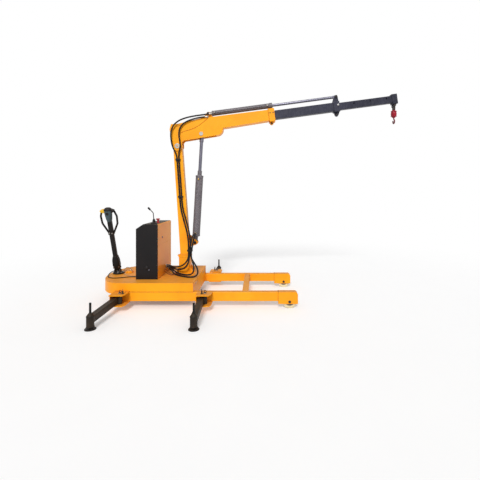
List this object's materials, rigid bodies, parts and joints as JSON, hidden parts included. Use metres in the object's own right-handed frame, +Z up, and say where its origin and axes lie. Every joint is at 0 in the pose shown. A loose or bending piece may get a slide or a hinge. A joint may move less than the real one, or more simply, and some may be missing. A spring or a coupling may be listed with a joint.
{
  "type": "mobile workshop crane",
  "caption": "Tiller-steered battery workshop crane with a slewing mast, telescopic boom, straddle legs and swing-out jack outriggers.",
  "frame": {"origin": "on the floor, below the middle of the overall box", "axes": "+X along the boom and legs, +Z up, +Y to the crane's left"},
  "size_m": [4.216, 2.5552, 2.9673],
  "materials": {
    "yellow_paint": "satin",
    "black_paint": "satin",
    "dark_tube": "satin",
    "side_panel": "satin",
    "grey_cylinder": "satin",
    "bright_rod": "polished",
    "bare_steel": "brushed",
    "wheel_tread": "satin",
    "wheel_hub": "cast",
    "hose_rubber": "matt",
    "control_plastic": "matt",
    "red_plastic": "gloss",
    "red_paint": "gloss",
    "battery": "matt"
  },
  "bodies": {
    "chassis": {"deck_plate": "yellow_paint", "body_skirt": "yellow_paint", "leg_right": "yellow_paint", "leg_left": "yellow_paint", "leg_head_right": "yellow_paint", "leg_head_left": "yellow_paint", "front_axles": "bare_steel", "cross_member": "yellow_paint", "deck_beams": "yellow_paint", "outrigger_brackets": "yellow_paint", "outrigger_pins": "bare_steel", "cabinet_shell": "yellow_paint", "cabinet_sides": "side_panel", "battery_block": "battery", "valve_block": "black_paint", "valve_lever": "bright_rod", "emergency_stop": "red_plastic", "deck_dome": "yellow_paint", "hose_fittings": "bare_steel", "pedestal": "yellow_paint", "deck_hoses": "hose_rubber", "tiller_cable": "hose_rubber"},
    "wheel_right": {"front_hub_right": "wheel_hub", "front_tyre_right": "wheel_tread"},
    "wheel_left": {"front_hub_left": "wheel_hub", "front_tyre_left": "wheel_tread"},
    "steering": {"turntable": "black_paint", "drive_motor": "black_paint", "drive_fork": "black_paint", "tiller_yoke": "bare_steel"},
    "drive_wheel": {"drive_hub": "wheel_hub", "drive_tyre": "wheel_tread"},
    "tiller": {"tiller_arm": "black_paint", "tiller_handle": "black_paint", "tiller_head": "control_plastic"},
    "mast": {"mast_column": "yellow_paint", "lift_bracket": "yellow_paint", "mast_hoses": "hose_rubber"},
    "boom": {"boom_beam": "yellow_paint", "boom_pins": "bare_steel", "push_barrel": "grey_cylinder", "head_hoses": "hose_rubber"},
    "extension_one": {"extension_1": "dark_tube", "push_rod": "bright_rod"},
    "extension_two": {"extension_2": "dark_tube"},
    "lift_barrel": {"lift_barrel": "grey_cylinder"},
    "lift_rod": {"lift_rod": "bright_rod"},
    "hook_shackle": {"hook_shackle": "bare_steel", "hook_block": "red_paint"},
    "hook": {"hook": "bare_steel"},
    "arm_rear_right": {"outrigger_arm_rear_right": "black_paint"},
    "jack_rear_right": {"jack_rear_right": "black_paint"},
    "arm_rear_left": {"outrigger_arm_rear_left": "black_paint"},
    "jack_rear_left": {"jack_rear_left": "black_paint"},
    "arm_front_right": {"outrigger_arm_front_right": "black_paint"},
    "jack_front_right": {"jack_front_right": "black_paint"},
    "arm_front_left": {"outrigger_arm_front_left": "black_paint"},
    "jack_front_left": {"jack_front_left": "black_paint"}
  },
  "joints": [
    {"name": "roll_right", "type": "hinge", "parent": "chassis", "child": "wheel_right", "pos_m": [0.478, -0.5, 0.09], "axis": [0, 1, 0], "continuous": true},
    {"name": "roll_left", "type": "hinge", "parent": "chassis", "child": "wheel_left", "pos_m": [0.478, 0.5, 0.09], "axis": [0, 1, 0], "continuous": true},
    {"name": "steer", "type": "hinge", "parent": "chassis", "child": "steering", "pos_m": [-1.985, 0, 0.332], "axis": [0, 0, 1], "range_deg": [-180, 0], "deforming": ["tiller_cable"]},
    {"name": "drive_roll", "type": "hinge", "parent": "steering", "child": "drive_wheel", "pos_m": [-1.985, 0, 0.1], "axis": [1, 0, 0], "continuous": true},
    {"name": "tiller_tilt", "type": "hinge", "parent": "steering", "child": "tiller", "pos_m": [-1.985, -0.038, 0.398], "axis": [1, 0, 0], "range_deg": [-20, 50]},
    {"name": "slew", "type": "hinge", "parent": "chassis", "child": "mast", "pos_m": [-1.003, 0, 0.609], "axis": [0, 0, 1], "range_deg": [-90, 90], "deforming": ["deck_hoses"]},
    {"name": "boom_lift", "type": "hinge", "parent": "mast", "child": "boom", "pos_m": [-1.109, 0, 2.199], "axis": [0, -1, 0], "range_deg": [-38, 42], "deforming": ["head_hoses"]},
    {"name": "lift_tilt", "type": "hinge", "parent": "mast", "child": "lift_barrel", "pos_m": [-0.851, 0, 0.793], "axis": [0, -1, 0], "range_deg": [-5, 8]},
    {"name": "lift_stroke", "type": "slide", "parent": "lift_barrel", "child": "lift_rod", "axis": [0.0572, 0, 0.9984], "range_m": [-0.25, 0.25]},
    {"name": "extend_one", "type": "slide", "parent": "boom", "child": "extension_one", "axis": [0.9912, 0, 0.1323], "range_m": [-0.75, 0]},
    {"name": "extend_two", "type": "slide", "parent": "extension_one", "child": "extension_two", "axis": [0.9912, 0, 0.1323], "range_m": [-0.71, 0]},
    {"name": "hook_swing", "type": "hinge", "parent": "extension_two", "child": "hook_shackle", "pos_m": [2.06294, 0, 2.79575], "axis": [0, -1, 0], "range_deg": [-43, 43]},
    {"name": "hook_swivel", "type": "hinge", "parent": "hook_shackle", "child": "hook", "pos_m": [2.06294, 0, 2.62], "axis": [0, 0, 1], "continuous": true},
    {"name": "fold_rear_right", "type": "hinge", "parent": "chassis", "child": "arm_rear_right", "pos_m": [-1.705, -0.64, 0.144], "axis": [0, 0, 1], "range_deg": [0, 94.5]},
    {"name": "screw_rear_right", "type": "slide", "parent": "arm_rear_right", "child": "jack_rear_right", "axis": [0, 0, -1], "range_m": [-0.006, 0.1]},
    {"name": "fold_rear_left", "type": "hinge", "parent": "chassis", "child": "arm_rear_left", "pos_m": [-1.705, 0.64, 0.144], "axis": [0, 0, -1], "range_deg": [0, 94.5]},
    {"name": "screw_rear_left", "type": "slide", "parent": "arm_rear_left", "child": "jack_rear_left", "axis": [0, 0, -1], "range_m": [-0.006, 0.1]},
    {"name": "fold_front_right", "type": "hinge", "parent": "chassis", "child": "arm_front_right", "pos_m": [-0.618, -0.64, 0.144], "axis": [0, 0, 1], "range_deg": [0, 88.4]},
    {"name": "screw_front_right", "type": "slide", "parent": "arm_front_right", "child": "jack_front_right", "axis": [0, 0, -1], "range_m": [-0.006, 0.1]},
    {"name": "fold_front_left", "type": "hinge", "parent": "chassis", "child": "arm_front_left", "pos_m": [-0.618, 0.64, 0.144], "axis": [0, 0, -1], "range_deg": [0, 88.4]},
    {"name": "screw_front_left", "type": "slide", "parent": "arm_front_left", "child": "jack_front_left", "axis": [0, 0, -1], "range_m": [-0.006, 0.1]}
  ],
  "couplings": [
    {"joint": "lift_tilt", "follows": "boom_lift", "ratio": 0.115},
    {"joint": "lift_stroke", "follows": "boom_lift", "m_per_rad": 0.314}
  ]
}
